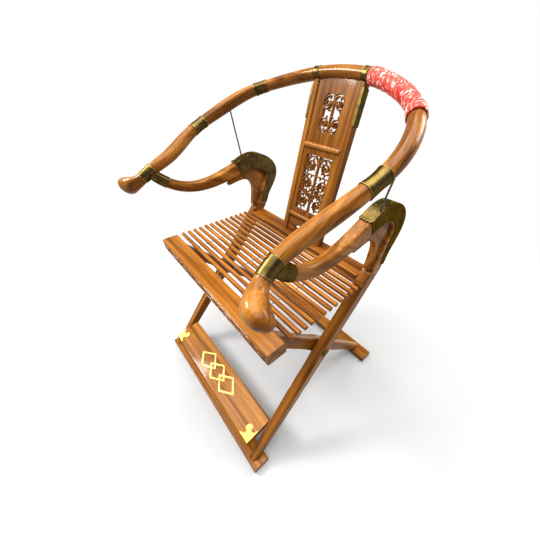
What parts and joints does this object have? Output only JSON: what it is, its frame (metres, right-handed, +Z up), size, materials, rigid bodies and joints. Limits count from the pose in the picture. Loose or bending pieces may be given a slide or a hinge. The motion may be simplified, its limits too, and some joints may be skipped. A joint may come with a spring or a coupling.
{
  "type": "folding armchair",
  "caption": "Folding wooden horseshoe armchair on crossed legs, with goose-neck arm supports, a carved splat, a slatted wire-strung seat, brass fittings and a hinged footrest.",
  "frame": {"origin": "on the floor, under the middle of the bounding box", "axes": "+Z up, -Y towards the front of the seat, +X to the sitter's left"},
  "size_m": [0.7616, 0.6624, 1.0325],
  "materials": {
    "frame_wood": "polished honey-brown hardwood under clear varnish",
    "slat_wood": "polished hardwood, lighter than the frame",
    "brass": "aged sheet brass",
    "dark_steel": "dark drawn wire",
    "red_wrap": "red cloth under clear film"
  },
  "bodies": {
    "back_frame": {"arm_front_left": "frame_wood", "arm_front_right": "frame_wood", "arm_support_left": "frame_wood", "arm_support_right": "frame_wood", "arm_wrap": "red_wrap", "crest_back": "frame_wood", "crest_side_left": "frame_wood", "crest_side_right": "frame_wood", "crest_sleeves": "brass", "front_leg_left": "frame_wood", "front_leg_right": "frame_wood", "front_runner": "frame_wood", "front_sleeves": "brass", "middle_sleeves": "brass", "neck_bracket_left": "frame_wood", "neck_bracket_right": "frame_wood", "neck_casing_left": "brass", "neck_casing_right": "brass", "pivot_pins": "brass", "pivot_washers": "brass", "rear_seat_rail": "frame_wood", "rear_sleeves": "brass", "seat_slat_13": "slat_wood", "seat_wires_rear": "dark_steel", "splat_apron": "frame_wood", "splat_carved_frame": "frame_wood", "splat_carving": "frame_wood", "splat_lower_rail": "frame_wood", "splat_stile_left": "frame_wood", "splat_stile_right": "frame_wood", "splat_strips": "brass", "splat_top_panel": "frame_wood", "splat_tracery": "frame_wood", "splat_upper_rail": "frame_wood", "stay_rods": "dark_steel", "support_shoes": "brass"},
    "seat_frame": {"front_seat_rail": "frame_wood", "rear_leg_left": "frame_wood", "rear_leg_right": "frame_wood", "rear_runner": "frame_wood", "seat_wires_front": "dark_steel", "seat_slat_01": "slat_wood"},
    "footrest": {"footrest_board": "frame_wood", "footrest_pins": "brass", "footrest_feet": "frame_wood", "lozenge_mount": "brass", "corner_mounts": "brass"},
    "slat_02": {"seat_slat_02": "slat_wood"},
    "slat_03": {"seat_slat_03": "slat_wood"},
    "slat_04": {"seat_slat_04": "slat_wood"},
    "slat_05": {"seat_slat_05": "slat_wood"},
    "slat_06": {"seat_slat_06": "slat_wood"},
    "slat_07": {"seat_slat_07": "slat_wood"},
    "slat_08": {"seat_slat_08": "slat_wood"},
    "slat_09": {"seat_slat_09": "slat_wood"},
    "slat_10": {"seat_slat_10": "slat_wood"},
    "slat_11": {"seat_slat_11": "slat_wood"},
    "slat_12": {"seat_slat_12": "slat_wood"}
  },
  "joints": [
    {"name": "fold", "type": "hinge", "parent": "back_frame", "child": "seat_frame", "pos_m": [0, -0.02002, 0.33378], "axis": [-1, 0, 0], "range_deg": [0, 49], "deforming": ["seat_wires_rear"]},
    {"name": "footrest_hinge", "type": "hinge", "parent": "back_frame", "child": "footrest", "pos_m": [0, -0.23118, 0.104], "axis": [-1, 0, 0], "range_deg": [0, 75]},
    {"name": "slat_drop_02", "type": "slide", "parent": "seat_frame", "child": "slat_02", "axis": [0, -0.6448, -0.7644], "range_m": [0, 0.01908]},
    {"name": "slat_drop_03", "type": "slide", "parent": "seat_frame", "child": "slat_03", "axis": [0, -0.643, -0.7659], "range_m": [0, 0.03783]},
    {"name": "slat_drop_04", "type": "slide", "parent": "seat_frame", "child": "slat_04", "axis": [0, -0.6412, -0.7674], "range_m": [0, 0.05624]},
    {"name": "slat_drop_05", "type": "slide", "parent": "seat_frame", "child": "slat_05", "axis": [0, -0.6395, -0.7688], "range_m": [0, 0.07432]},
    {"name": "slat_drop_06", "type": "slide", "parent": "seat_frame", "child": "slat_06", "axis": [0, -0.6379, -0.7702], "range_m": [0, 0.09207]},
    {"name": "slat_drop_07", "type": "slide", "parent": "seat_frame", "child": "slat_07", "axis": [0, -0.6363, -0.7715], "range_m": [0, 0.10947]},
    {"name": "slat_drop_08", "type": "slide", "parent": "back_frame", "child": "slat_08", "axis": [0, 0.6529, -0.7575], "range_m": [0, 0.08304]},
    {"name": "slat_drop_09", "type": "slide", "parent": "back_frame", "child": "slat_09", "axis": [0, 0.6517, -0.7585], "range_m": [0, 0.0657]},
    {"name": "slat_drop_10", "type": "slide", "parent": "back_frame", "child": "slat_10", "axis": [0, 0.6507, -0.7594], "range_m": [0, 0.04872]},
    {"name": "slat_drop_11", "type": "slide", "parent": "back_frame", "child": "slat_11", "axis": [0, 0.6497, -0.7602], "range_m": [0, 0.03211]},
    {"name": "slat_drop_12", "type": "slide", "parent": "back_frame", "child": "slat_12", "axis": [0, 0.6489, -0.7609], "range_m": [0, 0.01587]}
  ],
  "couplings": [
    {"joint": "slat_drop_02", "follows": "fold", "m_per_rad": 0.02231},
    {"joint": "slat_drop_03", "follows": "fold", "m_per_rad": 0.044231},
    {"joint": "slat_drop_04", "follows": "fold", "m_per_rad": 0.065764},
    {"joint": "slat_drop_05", "follows": "fold", "m_per_rad": 0.086905},
    {"joint": "slat_drop_06", "follows": "fold", "m_per_rad": 0.10765},
    {"joint": "slat_drop_07", "follows": "fold", "m_per_rad": 0.12801},
    {"joint": "slat_drop_08", "follows": "fold", "m_per_rad": 0.097095},
    {"joint": "slat_drop_09", "follows": "fold", "m_per_rad": 0.07682},
    {"joint": "slat_drop_10", "follows": "fold", "m_per_rad": 0.056972},
    {"joint": "slat_drop_11", "follows": "fold", "m_per_rad": 0.037552},
    {"joint": "slat_drop_12", "follows": "fold", "m_per_rad": 0.018561}
  ]
}
